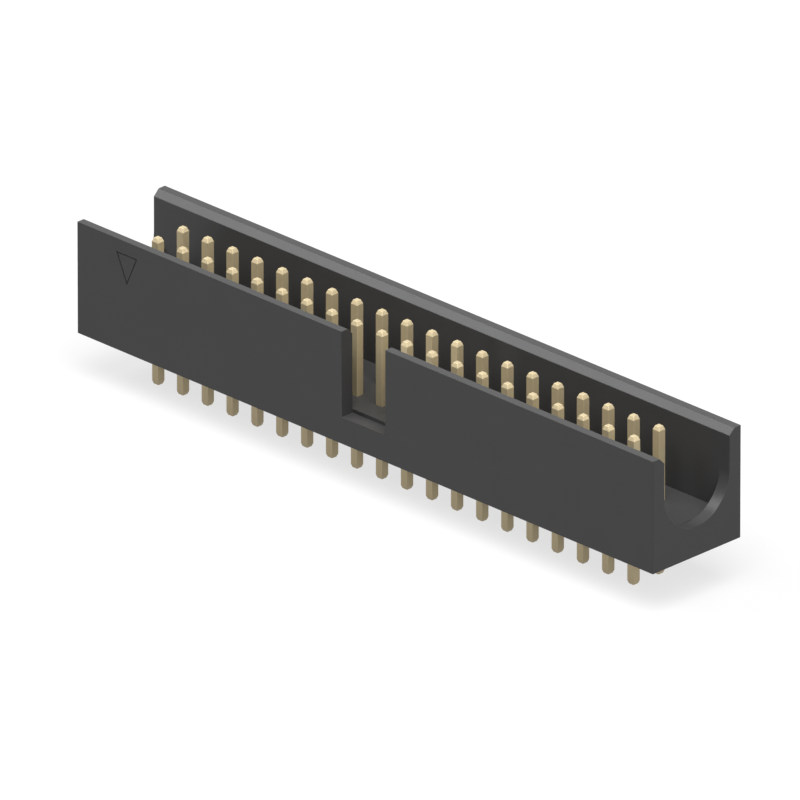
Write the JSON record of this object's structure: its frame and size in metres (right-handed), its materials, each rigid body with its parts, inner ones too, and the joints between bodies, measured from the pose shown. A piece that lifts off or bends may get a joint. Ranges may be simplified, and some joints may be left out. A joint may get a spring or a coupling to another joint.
{
  "type": "idc box header",
  "caption": "Shrouded board header: rows of straight square pins in an open-topped box with a key slot in the front wall and round-bottomed notches in the end walls.",
  "frame": {"origin": "middle of the contact field on the housing's board face, which lies on the circuit board", "axes": "+Z out of the mating cavity, away from the board; +X along the rows, from pins 1 and 2 to the other end; -Y out of the front wall, which has the key slot and the pin 1 mark"},
  "size_m": [0.0584, 0.0088, 0.0122],
  "materials": {
    "housing_plastic": "charcoal glass-filled polyester, fine satin mould texture",
    "contact_plating": "pale gold flash over nickel on brass, satin drawn flanks"
  },
  "bodies": {
    "root": {"housing": "housing_plastic", "contact_pin_01": "contact_plating", "contact_pin_02": "contact_plating", "contact_pin_03": "contact_plating", "contact_pin_04": "contact_plating", "contact_pin_05": "contact_plating", "contact_pin_06": "contact_plating", "contact_pin_07": "contact_plating", "contact_pin_08": "contact_plating", "contact_pin_09": "contact_plating", "contact_pin_10": "contact_plating", "contact_pin_11": "contact_plating", "contact_pin_12": "contact_plating", "contact_pin_13": "contact_plating", "contact_pin_14": "contact_plating", "contact_pin_15": "contact_plating", "contact_pin_16": "contact_plating", "contact_pin_17": "contact_plating", "contact_pin_18": "contact_plating", "contact_pin_19": "contact_plating", "contact_pin_20": "contact_plating", "contact_pin_21": "contact_plating", "contact_pin_22": "contact_plating", "contact_pin_23": "contact_plating", "contact_pin_24": "contact_plating", "contact_pin_25": "contact_plating", "contact_pin_26": "contact_plating", "contact_pin_27": "contact_plating", "contact_pin_28": "contact_plating", "contact_pin_29": "contact_plating", "contact_pin_30": "contact_plating", "contact_pin_31": "contact_plating", "contact_pin_32": "contact_plating", "contact_pin_33": "contact_plating", "contact_pin_34": "contact_plating", "contact_pin_35": "contact_plating", "contact_pin_36": "contact_plating", "contact_pin_37": "contact_plating", "contact_pin_38": "contact_plating", "contact_pin_39": "contact_plating", "contact_pin_40": "contact_plating"}
  },
  "joints": []
}
